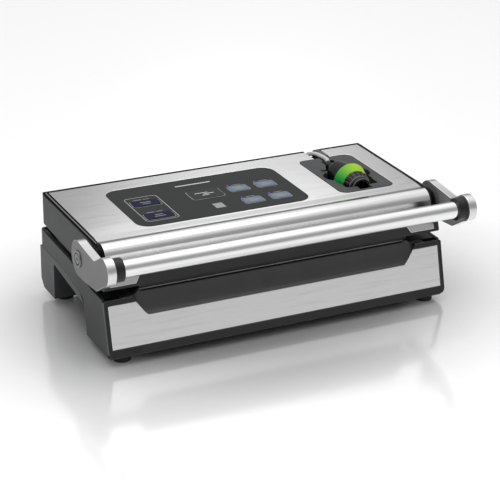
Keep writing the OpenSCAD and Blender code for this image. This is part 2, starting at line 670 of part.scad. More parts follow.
// side view of an arm between its hub and its front end
arm_web = [
    [pivot_y + 1, pivot_z + hub_r - 0.1, 0], [pivot_y - 44, pivot_z + 15, 5], [tube_y + 6, tube_z + 12.9, 0],
    [tube_y, tube_z, 0], [tube_y - 11.2, tube_z - 8.8, 0], [-84, 86.8, 10], [-57, 84.3, 30],
    [pivot_y - 3, pivot_z - hub_r + 0.3, 0],
    [pivot_y, pivot_z, 0]
];
module arm(s) color([0.45, 0.45, 0.45]) mirror([s, 0, 0]) difference() {
    union() {
        rod_x(arm_in, arm_out, pivot_y, pivot_z, hub_r);
        rod_x(arm_in, arm_out, tube_y, tube_z, end_r);
        translate([arm_in + arm_t / 2, 0, 0]) along_x(arm_t) polygon(rounded(arm_web));
    }
    rod_x(150, arm_out + 1, pivot_y, pivot_z, axle_r + 0.01);
}
module handle_arm_left() arm(1);
module handle_arm_right() arm(0);
module pivot_cap(s) color([0.8, 0.8, 0.8]) mirror([s, 0, 0]) difference() {
    rod_x(arm_out, arm_out + 1.5, pivot_y, pivot_z, 9);
    rod_x(arm_out + 0.7, arm_out + 3, pivot_y, pivot_z, 4);
}
module pivot_cap_left() pivot_cap(1);
module pivot_cap_right() pivot_cap(0);
module handle_axle() color([0.7, 0.7, 0.7]) rod_x(-arm_out, arm_out, pivot_y, pivot_z, axle_r);
module latch_fingers() color([0.65, 0.65, 0.66]) both_sides() difference() {
    union() {
        rod_x(latch_x - 2.5, latch_x + 2.5, pivot_y, pivot_z, 6);
        box([latch_x - 2.5, pivot_y - 2, pivot_z - finger_len], [latch_x + 2.5, pivot_y + 2, pivot_z]);
    }
    rod_x(150, 210, pivot_y, pivot_z, axle_r + 0.01);
}

// ---- hose connector ----
module con(y0, y1, r, r2 = 0) rod_y(y0, y1, con_x, con_z, r, r2);
module connector_body() color([0.07, 0.07, 0.075]) difference() {
    neck_y = con_tilt_y - 5.5;
    union() {
        con(nozzle_y, 19.6, core_r);
        con(19.4, 45, ring_r - 3, 14);
        con(45, neck_y, 14, 6);
    }
    con(nozzle_y - 1, 53, 2.5);
    con(52, neck_y + 1, 3.02);
}
module connector_ring() color([0.45, 0.75, 0.2]) difference() {
    con(nozzle_y + 0.1, 19.3, ring_r - 4.3, ring_r);
    con(nozzle_y - 1, 20, core_r + 0.02);
}
module connector_nozzle() color([0.05, 0.05, 0.055]) difference() {
    union() {
        con(mouth_y, -3.2, 11.4, 12.5);
        con(-3.2, nozzle_y - 0.1, 12.5, core_r + 0.5);
    }
    con(mouth_y - 1, 4, mouth_r);
    con(3, nozzle_y + 1, 2.5);
}
module hose_swivel() color([0.12, 0.12, 0.13]) {
    translate([con_x, con_tilt_y, con_z]) sphere(5);
    con(53, con_tilt_y, 3);
}

// ---- hose ----
// centre line from the swivel, over the lid's rear edge and down to the coil
to_coil = [
    [129.8, 70, 117.5], [130.5, 73.5, 118.6], [131, 78.7, 118.6], [130.6, 84, 118.6], [129.8, 89.5, 118.5],
    [129, 96, 118.1], [128.4, 102, 116.8], [128.3, 108, 114.7], [128.4, 114.2, 112.3], [128.3, 118.5, 108],
    [128, 121, 100], [126.5, 125, 84], [122, 131, 58], [115, 137, 35], [105, 144, 17],
    [93, 149.5, 7], [81, 152.3, 3.3], [70, 152.5, 3]
];
// centre line from the coil up to the port on the rear wall
to_port = [
    [70, 152.5, 13.2], [60, 151.5, 14.2], [50, 147.5, 17.5], [43, 141, 22.5], [40.4, 133.5, 27.5],
    [40, 126.2, 30]
];
coil_at = [70, 180];
coil_r = 27.5;
coil_h = 15.8;
hose_sides = 8;

// points on a smooth curve through p, n to each stretch
function smooth(p, n = 2) =
    let (k = len(p))
    [for (i = [0 : k - 2]) for (j = [0 : n - 1])
        let (a = p[max(i - 1, 0)], b = p[i], c = p[i + 1], d = p[min(i + 2, k - 1)], t = j / n)
        b + 0.5 * t * (c - a + t * (2 * a - 5 * b + 4 * c - d + t * (3 * b - a - 3 * c + d))),
     p[k - 1]];
module sweep(p, r, sides) {
    k = len(p);
    rings = [for (i = [0 : k - 1])
        let (t = unit(p[min(i + 1, k - 1)] - p[max(i - 1, 0)]),
             side = unit(cross(t, abs(t.z) > 0.9 ? [1, 0, 0] : [0, 0, 1])), up = cross(side, t))
        for (s = [0 : sides - 1]) p[i] + r * (cos(360 * s / sides) * side + sin(360 * s / sides) * up)];
    polyhedron(rings, concat(
        [[for (s = [0 : sides - 1]) s]],
        [for (i = [0 : k - 2], s = [0 : sides - 1])
            let (a = i * sides + s, b = i * sides + (s + 1) % sides) [a, a + sides, b + sides, b]],
        [[for (s = [sides - 1 : -1 : 0]) (k - 1) * sides + s]]
    ));
}
module hose_run() color([0.85, 0.86, 0.86]) {
    sweep(smooth(to_coil), hose_r, hose_sides);
    sweep(smooth(to_port), hose_r, hose_sides);
}
module hose_coil() color([0.85, 0.86, 0.86]) translate([coil_at.x, coil_at.y, 0]) rotate_extrude($fn = 64)
    translate([coil_r - hose_r, 0.2]) square([2 * hose_r, coil_h - 0.2]);

base_upper_shell();
base_lower_shell();
front_bezel();
front_panel();
sealing_deck();
drip_tray();
lower_gasket();
seal_bar_holder();
heating_wire();
release_strip();
pump_motor();
pump_crank();
pump_head();
pump_saddle();
transformer();
power_board();
solenoid_valve();
vacuum_pipe();
hose_port();
power_inlet();
lid_switches();
latch_catches();
hinge_pins();
base_screws();
rubber_feet();
lid_housing();
lid_skin();
lid_inner_plate();
upper_gasket();
press_strip();
control_overlay();
control_board();
dome_switches();
indicator_lenses();
dock_tray();
hose_guide();
lid_screws();
axle_bushes();
handle_tube();
handle_arm_left();
handle_arm_right();
handle_collar_left();
handle_collar_right();
pivot_cap_left();
pivot_cap_right();
handle_axle();
latch_fingers();
key_start_stop();
key_mode_upper();
key_mode_lower();
key_rear_left();
key_rear_right();
key_front_left();
key_front_right();
connector_body();
connector_ring();
connector_nozzle();
hose_swivel();
hose_run();
hose_coil();
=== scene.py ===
import json
import math

import bmesh
import bpy
from mathutils import Matrix, Vector


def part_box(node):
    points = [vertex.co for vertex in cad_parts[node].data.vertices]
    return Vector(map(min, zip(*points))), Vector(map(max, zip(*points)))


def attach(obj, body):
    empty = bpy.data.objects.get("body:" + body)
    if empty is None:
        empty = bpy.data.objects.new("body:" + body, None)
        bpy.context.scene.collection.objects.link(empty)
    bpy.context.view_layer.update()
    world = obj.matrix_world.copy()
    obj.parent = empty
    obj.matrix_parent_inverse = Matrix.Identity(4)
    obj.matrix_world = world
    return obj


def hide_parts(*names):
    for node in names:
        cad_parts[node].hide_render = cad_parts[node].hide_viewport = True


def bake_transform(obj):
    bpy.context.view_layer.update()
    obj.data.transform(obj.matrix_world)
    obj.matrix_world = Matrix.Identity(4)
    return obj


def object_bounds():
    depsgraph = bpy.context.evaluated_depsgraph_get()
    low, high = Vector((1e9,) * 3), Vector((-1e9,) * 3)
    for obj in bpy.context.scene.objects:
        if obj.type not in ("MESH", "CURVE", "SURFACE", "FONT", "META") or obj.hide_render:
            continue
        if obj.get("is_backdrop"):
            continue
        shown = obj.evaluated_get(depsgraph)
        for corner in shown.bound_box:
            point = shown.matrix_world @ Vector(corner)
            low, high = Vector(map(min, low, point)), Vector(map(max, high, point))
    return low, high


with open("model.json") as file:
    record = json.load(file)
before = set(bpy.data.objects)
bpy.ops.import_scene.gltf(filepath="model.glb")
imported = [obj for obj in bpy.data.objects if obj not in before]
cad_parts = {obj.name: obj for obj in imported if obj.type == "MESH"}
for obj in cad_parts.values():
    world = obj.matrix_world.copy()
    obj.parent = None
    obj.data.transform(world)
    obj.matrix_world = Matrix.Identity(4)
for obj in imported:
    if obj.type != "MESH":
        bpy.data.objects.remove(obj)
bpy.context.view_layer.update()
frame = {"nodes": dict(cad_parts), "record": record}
nodes = frame["nodes"]
MM = 0.001

# ---------------------------------------------------------------- camera
yaw, pitch, roll = (math.radians(a) for a in (26.218, 23.270, 0.869))
ahead = Vector((math.sin(yaw) * math.cos(pitch), math.cos(yaw) * math.cos(pitch), -math.sin(pitch)))
level_right = Vector((math.cos(yaw), -math.sin(yaw), 0))
level_up = level_right.cross(ahead)
right = math.cos(roll) * level_right + math.sin(roll) * level_up
up = math.cos(roll) * level_up - math.sin(roll) * level_right
camera = bpy.data.objects.new("camera", bpy.data.cameras.new("camera"))
bpy.context.scene.collection.objects.link(camera)
camera.data.sensor_width = 36
camera.data.lens = 124.8
camera.data.clip_end = 20
eye = Vector((-0.7504, -1.5234, 0.7982))
camera.matrix_world = Matrix((
    (right.x, up.x, -ahead.x, eye.x),
    (right.y, up.y, -ahead.y, eye.y),
    (right.z, up.z, -ahead.z, eye.z),
    (0, 0, 0, 1),
))
bpy.context.scene.camera = camera


# ---------------------------------------------------------------- node helpers
SIDE_START = (0.9, 0.97)  # how far a normal turns to X where a split finish changes to its side faces
ENDS_START = (0.157, 0.161)  # distance from the middle where it changes to the colour of its ends


def new_material(name):
    """A material with its node tree and its shader."""
    m = bpy.data.materials.new(name)
    m.use_nodes = True
    t = m.node_tree
    shader = t.nodes["Principled BSDF"]
    return m, t, shader


def link(t, a, b):
    """Joins an output to an input in a node tree."""
    t.links.new(a, b)


def noise(t, stretch, scale=1.0, detail=2.0, rough=0.5):
    """A noise over the object's own space, stretched by the three numbers. Its output is about 0 to 1."""
    where = t.nodes.new("ShaderNodeTexCoord")
    move = t.nodes.new("ShaderNodeMapping")
    move.inputs["Scale"].default_value = stretch
    tex = t.nodes.new("ShaderNodeTexNoise")
    tex.inputs["Scale"].default_value = scale
    tex.inputs["Detail"].default_value = detail
    tex.inputs["Roughness"].default_value = rough
    link(t, where.outputs["Object"], move.inputs["Vector"])
    link(t, move.outputs["Vector"], tex.inputs["Vector"])
    return tex.outputs["Fac"]


def remap(t, value, low, high, start=0.3, end=0.7):
    """The value stretched from start..end to low..high, and held at those limits."""
    r = t.nodes.new("ShaderNodeMapRange")
    r.inputs["From Min"].default_value = start
    r.inputs["From Max"].default_value = end
    r.inputs["To Min"].default_value = low
    r.inputs["To Max"].default_value = high
    link(t, value, r.inputs["Value"])
    return r.outputs["Result"]


def mix(t, value, a, b):
    """Colour a where the value is 0, and b where it is 1. Each may be three numbers or an output."""
    m = t.nodes.new("ShaderNodeMix")
    m.data_type = "RGBA"
    link(t, value, m.inputs["Factor"])
    for socket, c in ((m.inputs[6], a), (m.inputs[7], b)):
        if isinstance(c, tuple):
            socket.default_value = (*c, 1)
        else:
            link(t, c, socket)
    return m.outputs[2]


def bump(t, shader, height, strength, distance):
    """Relief from a height, with the distance in metres that a height of 1 stands for."""
    b = t.nodes.new("ShaderNodeBump")
    b.inputs["Strength"].default_value = strength
    b.inputs["Distance"].default_value = distance
    link(t, height, b.inputs["Height"])
    link(t, b.outputs["Normal"], shader.inputs["Normal"])


def darker_and_lighter(colour, vary):
    """The two ends of a colour's unevenness."""
    return tuple(c * (1 - vary) for c in colour), tuple(min(1, c * (1 + vary)) for c in colour)


def plastic(name, colour, rough=0.4, grain=0.08, grain_size=0.35, vary=0.12, gloss=0.5):
    """Moulded plastic: spark-eroded grain, slight unevenness of colour and gloss."""
    m, t, s = new_material(name)
    big = noise(t, (1, 1, 1), 45, 3, 0.55)
    dark, light = darker_and_lighter(colour, vary)
    link(t, mix(t, remap(t, big, 0, 1), dark, light), s.inputs["Base Color"])
    fine = noise(t, (1, 1, 1), 1000 / grain_size, 2, 0.6)
    link(t, remap(t, fine, max(0.03, rough - 0.05), rough + 0.06), s.inputs["Roughness"])
    s.inputs["IOR"].default_value = 1.5
    s.inputs["Specular IOR Level"].default_value = gloss
    if grain:
        bump(t, s, fine, grain, 0.0001)
    return m


def metal(name, colour, rough, brush, strength=0.05, spread=0.08, vary=0.05, streaks=0.0):
    """Metal with fine lines or blast grain: brush stretches the noise, and streaks adds wide dull bands."""
    m, t, s = new_material(name)
    lines = noise(t, brush, 1, 4, 0.65)
    cloud = noise(t, (1, 1, 1), 14, 3, 0.6)
    dark, light = darker_and_lighter(colour, vary)
    shade = mix(t, remap(t, lines, 0, 1, 0.25, 0.75), dark, light)
    if streaks:
        wide = noise(t, (14, 260, 260), 1, 3, 0.6)
        dull = tuple(c * (1 - streaks) for c in colour)
        shade = mix(t, remap(t, wide, 0, 0.5, 0.52, 0.8), shade, dull)
    link(t, shade, s.inputs["Base Color"])
    both = t.nodes.new("ShaderNodeMath")
    both.operation = "MULTIPLY_ADD"
    both.inputs[1].default_value = 0.35
    link(t, cloud, both.inputs[0])
    link(t, lines, both.inputs[2])
    link(t, remap(t, both.outputs[0], rough - spread, rough + spread, 0.45, 0.95), s.inputs["Roughness"])
    s.inputs["Metallic"].default_value = 1
    if strength:
        bump(t, s, lines, strength, 0.00006)
    return m


def by_side(t, a, b):
    """a where the surface doesn't face along X, and b where it does."""
    where = t.nodes.new("ShaderNodeTexCoord")
    parts = t.nodes.new("ShaderNodeSeparateXYZ")
    link(t, where.outputs["Normal"], parts.inputs["Vector"])
    size = t.nodes.new("ShaderNodeMath")
    size.operation = "ABSOLUTE"
    link(t, parts.outputs["X"], size.inputs[0])
    side = remap(t, size.outputs[0], 0, 1, *SIDE_START)
    return mix(t, side, a, b), side


def split_finish(
    name, band, face, band_rough, face_rough, metallic=0.0, grain=0.05, gloss=0.5,
    lower=None, at=0.094, inner=None, ends=None,
):
    """
    One moulding or casting with a smooth band, and duller faces at its two sides.
    lower is the band's colour below the height at, and ends its colour near both ends, which needs lower too.
    inner is the colour of the side faces that look towards the middle of the machine: painted light, a lighter
    copy of the outer faces' colour for the light that falls on them.
    """
    m, t, s = new_material(name)
    if lower:
        where = t.nodes.new("ShaderNodeTexCoord")
        place = t.nodes.new("ShaderNodeSeparateXYZ")
        link(t, where.outputs["Object"], place.inputs["Vector"])
        band = mix(t, remap(t, place.outputs["Z"], 0, 1, at, at + 0.003), lower, band)
    if ends:
        reach = t.nodes.new("ShaderNodeMath")
        reach.operation = "ABSOLUTE"
        link(t, place.outputs["X"], reach.inputs[0])
        band = mix(t, remap(t, reach.outputs[0], 0, 1, *ENDS_START), band, ends)
    # painted light: the side faces towards the middle get the lighter inner colour
    if inner:
        where = t.nodes.new("ShaderNodeTexCoord")
        parts = [t.nodes.new("ShaderNodeSeparateXYZ") for _ in range(2)]
        outward = t.nodes.new("ShaderNodeMath")
        outward.operation = "MULTIPLY"
        for k, socket in enumerate(("Object", "Normal")):
            link(t, where.outputs[socket], parts[k].inputs["Vector"])
            link(t, parts[k].outputs["X"], outward.inputs[k])
        face = mix(t, remap(t, outward.outputs[0], 0, 1, -0.1, 0.1), inner, face)
    colour, side = by_side(t, band, face)
    cloud = noise(t, (1, 1, 1), 40, 3, 0.55)
    fine = noise(t, (1, 1, 1), 3200, 2, 0.6)
    shade = mix(t, remap(t, cloud, 0, 1), (0.9, 0.9, 0.9), (1.0, 1.0, 1.0))
    both = t.nodes.new("ShaderNodeMix")
    both.data_type = "RGBA"
    both.blend_type = "MULTIPLY"
    both.inputs["Factor"].default_value = 1
    link(t, colour, both.inputs[6])
    link(t, shade, both.inputs[7])
    link(t, both.outputs[2], s.inputs["Base Color"])
    rough = t.nodes.new("ShaderNodeMapRange")
    rough.inputs["To Min"].default_value = band_rough
    rough.inputs["To Max"].default_value = face_rough
    link(t, side, rough.inputs["Value"])
    link(t, rough.outputs["Result"], s.inputs["Roughness"])
    if metallic:
        shine = t.nodes.new("ShaderNodeMapRange")
        shine.inputs["To Min"].default_value = metallic
        shine.inputs["To Max"].default_value = 0.25 * metallic
        link(t, side, shine.inputs["Value"])
        link(t, shine.outputs["Result"], s.inputs["Metallic"])
    s.inputs["Specular IOR Level"].default_value = gloss
    bump(t, s, fine, grain, 0.0001)
    return m


BRUSHED = (12, 3500, 3500)  # fine lines along X
MATERIALS = {
    "housing_plastic": split_finish(
        "housing_plastic", (0.004, 0.004, 0.004), (0.066, 0.068, 0.07), 0.25, 0.4,
        grain=0.06, gloss=0.06, lower=(0.046, 0.046, 0.047),
    ),
    "underside_plastic": plastic("underside_plastic", (0.054, 0.056, 0.058), 0.42, 0.14, gloss=0.2),
    "bezel_plastic": split_finish(
        "bezel_plastic", (0.052, 0.052, 0.053), (0.021, 0.021, 0.022), 0.26, 0.3,
        grain=0.03, gloss=0.4, lower=(0.016, 0.016, 0.017), at=0.036, ends=(0.01, 0.01, 0.011),
    ),
    "deck_plastic": plastic("deck_plastic", (0.01, 0.01, 0.011), 0.42, 0.14, gloss=0.35),
    "brushed_steel": metal(
        "brushed_steel", (0.71, 0.71, 0.71), 0.19, BRUSHED,
        strength=0.09, spread=0.045, vary=0.06, streaks=0.24,
    ),
    "tube_steel": metal(
        "tube_steel", (0.86, 0.86, 0.865), 0.12, BRUSHED,
        strength=0.05, spread=0.03, vary=0.03, streaks=0.12,
    ),
    # the lighter inner colour of the arms' side faces is painted light
    "arm_metal": split_finish(
        "arm_metal", (0.74, 0.74, 0.74), (0.132, 0.132, 0.135), 0.26, 0.42,
        metallic=1, grain=0.04, inner=(0.3, 0.3, 0.303),
    ),
    "bright_metal": split_finish(
        "bright_metal", (0.2, 0.2, 0.2), (0.2, 0.2, 0.202), 0.3, 0.4, metallic=1, grain=0.03,
    ),
    "hardware_steel": metal("hardware_steel", (0.55, 0.55, 0.55), 0.3, (600, 600, 600), 0.05, 0.08, 0.1),
    "collar_plastic": plastic("collar_plastic", (0.01, 0.01, 0.011), 0.4, 0.05, gloss=0.35),
    "gasket_foam": plastic("gasket_foam", (0.022, 0.022, 0.022), 0.8, 0.5, 0.8, 0.25),
    "foot_rubber": plastic("foot_rubber", (0.014, 0.014, 0.014), 0.6, 0.2, 0.6, 0.2, gloss=0.3),
    "press_silicone": plastic("press_silicone", (0.5, 0.5, 0.48), 0.5, 0.1, 0.8, 0.06),
    "heating_metal": metal("heating_metal", (0.5, 0.48, 0.45), 0.3, (10, 1200, 10), 0.08),
    "release_cloth": plastic("release_cloth", (0.28, 0.2, 0.13), 0.45, 0.3, 0.6, 0.15),
    "circuit_board": plastic("circuit_board", (0.02, 0.12, 0.05), 0.35, 0.05, 0.6, 0.2),
    "transformer_core": plastic("transformer_core", (0.1, 0.1, 0.105), 0.45, 0.2, 0.6, 0.25),
    "valve_blue": plastic("valve_blue", (0.03, 0.05, 0.22), 0.4, 0.1),
    "hose_white": plastic("hose_white", (0.6, 0.61, 0.62), 0.3, 0.03, 1.0, 0.05),
    "overlay_grey": plastic("overlay_grey", (0.023, 0.0245, 0.0245), 0.45, 0.06, 0.25, 0.04, gloss=0.15),
    "dock_grey": plastic("dock_grey", (0.061, 0.063, 0.065), 0.42, 0.12, gloss=0.2),
    "key_grey": plastic("key_grey", (0.15, 0.19, 0.245), 0.45, 0.06, 0.3, 0.06, gloss=0.3),
    "key_dark": plastic("key_dark", (0.03, 0.032, 0.032), 0.45, 0.06, 0.3, 0.05, gloss=0.15),
    "key_blue": plastic("key_blue", (0.004, 0.005, 0.032), 0.35, 0.03, 0.3, 0.1, gloss=0.07),
    "dome_metal": metal("dome_metal", (0.6, 0.6, 0.6), 0.25, (900, 900, 900), 0.04),
    "lens_blue": plastic("lens_blue", (0.02, 0.06, 0.7), 0.15, 0.0, 0.5, 0.1, gloss=0.3),
    "connector_black": plastic("connector_black", (0.009, 0.009, 0.01), 0.2, 0.06, gloss=0.22),
    "ring_green": plastic("ring_green", (0.15, 0.5, 0.03), 0.3, 0.04, gloss=0.16),
    "print_white": plastic("print_white", (0.62, 0.66, 0.62), 0.5, 0.04, 0.3, 0.05, gloss=0.3),
    "print_dim": plastic("print_dim", (0.33, 0.35, 0.34), 0.5, 0.04, 0.3, 0.05, gloss=0.3),
    # edge_plastic, edge_light, edge_black and edge_metal are lighter colours for rounded edges and thin lines:
    # painted highlights
    "edge_plastic": plastic("edge_plastic", (0.2, 0.202, 0.205), 0.3, 0.04, 0.3, 0.1),
    # seam_black is the colour of a painted shadow
    "seam_black": plastic("seam_black", (0.003, 0.003, 0.003), 0.6, 0.04, gloss=0.05),
    "edge_light": plastic("edge_light", (0.6, 0.6, 0.605), 0.3, 0.04, 0.3, 0.1),
    "edge_black": plastic("edge_black", (0.15, 0.15, 0.153), 0.2, 0.02, 0.3, 0.1, gloss=0.7),
    "edge_metal": metal("edge_metal", (0.95, 0.95, 0.95), 0.22, (900, 900, 900), 0.02, 0.04, 0.03),
}


def ring_painted_light():
    """Painted light and shade on the ring: yellow-green towards the top and right where light falls, deep green
    at its lower left where it is in shade.
    """
    m = MATERIALS["ring_green"]
    t = m.node_tree
    shader = t.nodes["Principled BSDF"]
    where = t.nodes.new("ShaderNodeTexCoord")
    along = t.nodes.new("ShaderNodeVectorMath")
    along.operation = "DOT_PRODUCT"
    link(t, where.outputs["Object"], along.inputs[0])
    across, upward = 0.9, 0.44
    along.inputs[1].default_value = (across, 0.0, upward)
    low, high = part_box("connector_ring")
    centre = across * (low[0] + high[0]) / 2 + upward * (low[2] + high[2]) / 2
    lit = remap(t, along.outputs["Value"], 0, 1, centre - 0.013, centre + 0.014)
    cloud = noise(t, (1, 1, 1), 60, 2, 0.5)
    deep = mix(t, remap(t, cloud, 0, 1), (0.006, 0.34, 0.05), (0.01, 0.4, 0.06))
    # painted shade at the lower left, painted light at the top and right
    link(t, mix(t, lit, deep, (0.4, 0.66, 0.015)), shader.inputs["Base Color"])


ring_painted_light()
slot_of = {p["node"]: p["material_slot"] for p in frame["record"]["subparts"]}
for name, obj in nodes.items():
    obj.data.materials.clear()
    obj.data.materials.append(MATERIALS[slot_of[name]])
body_of_node = {n: b for b, ns in frame["record"]["behaviour"]["bodies"].items() for n in ns}


# ---------------------------------------------------------------- mesh helpers
def piece(name, verts, faces, slot, body, material=None, smooth=30):
    """
    A mesh given in millimetres that rides on a body.
    Edges sharper than smooth degrees stay sharp, and with 0 all faces are flat.
    """
    mesh = bpy.data.meshes.new(name)
    mesh.from_pydata([Vector(v) * MM for v in verts], [], faces)
    mesh.validate()
    bm = bmesh.new()
    bm.from_mesh(mesh)
    bmesh.ops.recalc_face_normals(bm, faces=bm.faces)
    bm.to_mesh(mesh)
    bm.free()
    o = bpy.data.objects.new(name, mesh)
    bpy.context.scene.collection.objects.link(o)
    mesh.materials.append(MATERIALS[material or slot])
    if smooth:
        mesh.shade_smooth()
        mesh.set_sharp_from_angle(angle=math.radians(smooth))
    if body:
        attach(o, body)
    return o


def edges(o, width, segments=2, angle=30, highlight_material=None):
    """Rounds the edges, which show the named lighter material as a painted highlight along them."""
    b = o.modifiers.new("edges", "BEVEL")
    b.width = width * MM
    b.segments = segments
    b.limit_method = "ANGLE"
    b.angle_limit = math.radians(angle)
    b.harden_normals = True
    b.use_clamp_overlap = True
    if highlight_material:
        o.data.materials.append(MATERIALS[highlight_material])
        b.material = 1


def prism(outline, a, b, axis):
    """Vertices and faces of an outline pushed along an axis from a to b."""
    def at(p, h):
        return {"x": (h, p[0], p[1]), "y": (p[0], h, p[1]), "z": (p[0], p[1], h)}[axis]
    n = len(outline)
    verts = [at(p, a) for p in outline] + [at(p, b) for p in outline]
    faces = [tuple(range(n)), tuple(range(n, 2 * n))]
    faces += [(i, (i + 1) % n, n + (i + 1) % n, n + i) for i in range(n)]
    return verts, faces


def turned(profile, centre, direction="y", sides=72):
    """Vertices and faces of a closed outline of (along, radius) points turned about a line through centre."""
    verts, faces = [], []
    k = len(profile)
    for i in range(sides):
        a = 2 * math.pi * i / sides
        for along, r in profile:
            u, v = r * math.cos(a), r * math.sin(a)
            if direction == "y":
                verts.append((centre[0] + u, along, centre[2] + v))
            else:
                verts.append((along, centre[1] + u, centre[2] + v))
    for i in range(sides):
        j = (i + 1) % sides
        for p in range(k):
            q = (p + 1) % k
            faces.append((i * k + p, i * k + q, j * k + q, j * k + p))
    return verts, faces


def rounded(cx, cy, w, d, r, n=8):
    """The outline of a rectangle w by d about a centre, with corners of radius r in n steps."""
    points = []
    for qx, qy, start in ((1, 1, 0), (-1, 1, 90), (-1, -1, 180), (1, -1, 270)):
        for i in range(n + 1):
            a = math.radians(start + 90 * i / n)
            points.append((cx + qx * (w / 2 - r) + r * math.cos(a), cy + qy * (d / 2 - r) + r * math.sin(a)))
    return points


WELD = 0.000004  # metres between two corners of a CAD mesh that are one
FLAT_WITHIN = 0.4  # degrees between two of its faces that are one


def smooth_copy(name, width, angle=30, segments=2, highlight_material=None):
    """A CAD node's own shape with its curves shaded smooth and its edges rounded."""
    source = nodes[name]
    bm = bmesh.new()
    bm.from_mesh(source.data)
    bmesh.ops.remove_doubles(bm, verts=bm.verts, dist=WELD)
    bmesh.ops.dissolve_limit(bm, angle_limit=math.radians(FLAT_WITHIN), verts=bm.verts, edges=bm.edges)
    mesh = bpy.data.meshes.new(name + "_shell")
    bm.to_mesh(mesh)
    bm.free()
    o = bpy.data.objects.new(name + "_shell", mesh)
    bpy.context.scene.collection.objects.link(o)
    mesh.materials.clear()
    mesh.materials.append(MATERIALS[slot_of[name]])
    mesh.shade_smooth()
    mesh.set_sharp_from_angle(angle=math.radians(angle))
    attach(o, body_of_node[name])
    edges(o, width, segments, angle, highlight_material)
    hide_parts(name)
    return o


def cut(o, *cutters):
    """Takes the cutters out of o for good."""
    for verts, faces in cutters:
        mesh = bpy.data.meshes.new("cutter")
        mesh.from_pydata([Vector(v) * MM for v in verts], [], faces)
        bm = bmesh.new()
        bm.from_mesh(mesh)
        bmesh.ops.recalc_face_normals(bm, faces=bm.faces)
        bm.to_mesh(mesh)
        bm.free()
        c = bpy.data.objects.new("cutter", mesh)
        bpy.context.scene.collection.objects.link(c)
        m = o.modifiers.new("cut", "BOOLEAN")
        m.operation = "DIFFERENCE"
        m.solver = "EXACT"
        m.object = c
        bpy.context.view_layer.update()
        done = bpy.data.meshes.new_from_object(o.evaluated_get(bpy.context.evaluated_depsgraph_get()))
        o.modifiers.remove(m)
        old = o.data
        o.data = done
        bpy.data.meshes.remove(old)
        bpy.data.objects.remove(c)
        bpy.data.meshes.remove(mesh)


def mm(name):
    """A node's lowest and highest corners in millimetres."""
    low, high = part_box(name)
    return Vector(low) / MM, Vector(high) / MM


# ---------------------------------------------------------------- hose
to_coil = [
    (129.8, 70, 117.5), (130.5, 73.5, 118.6), (131, 78.7, 118.6), (130.6, 84, 118.6), (129.8, 89.5, 118.5),
    (129, 96, 118.1), (128.4, 102, 116.8), (128.3, 108, 114.7), (128.4, 114.2, 112.3), (128.3, 118.5, 108),
    (128, 121, 100), (126.5, 125, 84), (122, 131, 58), (115, 137, 35), (105, 144, 17),
    (93, 149.5, 7), (81, 152.3, 3.3), (70, 152.5, 3),
]
to_port = [
    (70, 152.5, 13.2), (60, 151.5, 14.2), (50, 147.5, 17.5), (43, 141, 22.5), (40.4, 133.5, 27.5),
    (40, 126.2, 30),
]
hose_r = 2.5
coil_x, coil_y, coil_r, turns = 70, 180, 27.5, 2
coil_foot, coil_climb, steps_a_turn = 3, 10.2, 36


def through(points, n):
    """Points on a smooth curve through the given ones, n to each stretch."""
    out = []
    for i in range(len(points) - 1):
        a, b, c, d = (Vector(points[min(max(i + k, 0), len(points) - 1)]) for k in (-1, 0, 1, 2))
        for j in range(n):
            u = j / n
            out.append(b + 0.5 * u * (c - a + u * (2 * a - 5 * b + 4 * c - d + u * (3 * b - a - 3 * c + d))))
    out.append(Vector(points[-1]))
    return out


def loops():
    """The turns of the coil, clockwise from above, climbing from the first point's height to the last one's."""
    out = []
    steps = steps_a_turn * turns
    for i in range(1, steps):
        a = -math.pi / 2 - 2 * math.pi * turns * i / steps
        height = coil_foot + coil_climb * (i / steps)
        out.append(Vector((coil_x + coil_r * math.cos(a), coil_y + coil_r * math.sin(a), height)))
    return out


route = through(to_coil, 5) + loops() + through(to_port, 5)
route.reverse()


def tube_mesh(points, r, sides):
    """Vertices and faces of a closed tube along the points, with no twist from one to the next."""
    verts, faces = [], []
    k = len(points)
    side = None
    for i, p in enumerate(points):
        d = (points[min(i + 1, k - 1)] - points[max(i - 1, 0)]).normalized()
        if side is None:
            side = d.cross(Vector((0, 0, 1))).normalized()
        side = (side - d * side.dot(d)).normalized()
        other = d.cross(side)
        for s in range(sides):
            a = 2 * math.pi * s / sides
            verts.append(p + r * (math.cos(a) * side + math.sin(a) * other))
    for i in range(k - 1):
        for s in range(sides):
            a, b = i * sides + s, i * sides + (s + 1) % sides
            faces.append((a, b, b + sides, a + sides))
    faces.append(tuple(range(sides)))
    faces.append(tuple((k - 1) * sides + s for s in range(sides)))
    return verts, faces


hose = piece("hose", *tube_mesh(route, hose_r, 20), "hose_white", None, smooth=40)
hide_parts("hose_run", "hose_coil")
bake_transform(hose)

# ---------------------------------------------------------------- steel skin of the lid
low, high = mm("lid_skin")
top_z, rear_edge, skin_half, lip_z = high.z, high.y, high.x, low.z
sheet, slope, bend_y, bend_r = 1.2, 0.36, -53.5, 14.8
side_trim, rear_trim = 0.9, 0.7  # how much less than the CAD skin, so that the dark rim shows
fine_from, fine_step, arc_steps = -26, 0.6, 40  # forward of the first, small steps follow the crease
turn = math.pi / 2 - math.atan(slope)
arc_y = bend_y + bend_r * math.tan(turn / 2)
arc_z = top_z - bend_r


def crease(y):
    """A shallow hollow pressed into the top behind the bend: a long fall, then a short rise to a lip."""
    deepest, start, end, depth, soft = -37.0, -21.0, -45.4, 1.15, 0.2
    u = (start - y) / (start - deepest) if y > deepest else (y - end) / (deepest - end)
    u = min(1, max(0, u))
    if u < soft:
        share = u * u / (2 * soft)
    elif u > 1 - soft:
        share = 1 - soft - (1 - u) ** 2 / (2 * soft)
    else:
        share = u - soft / 2
    return depth * share / (1 - soft)


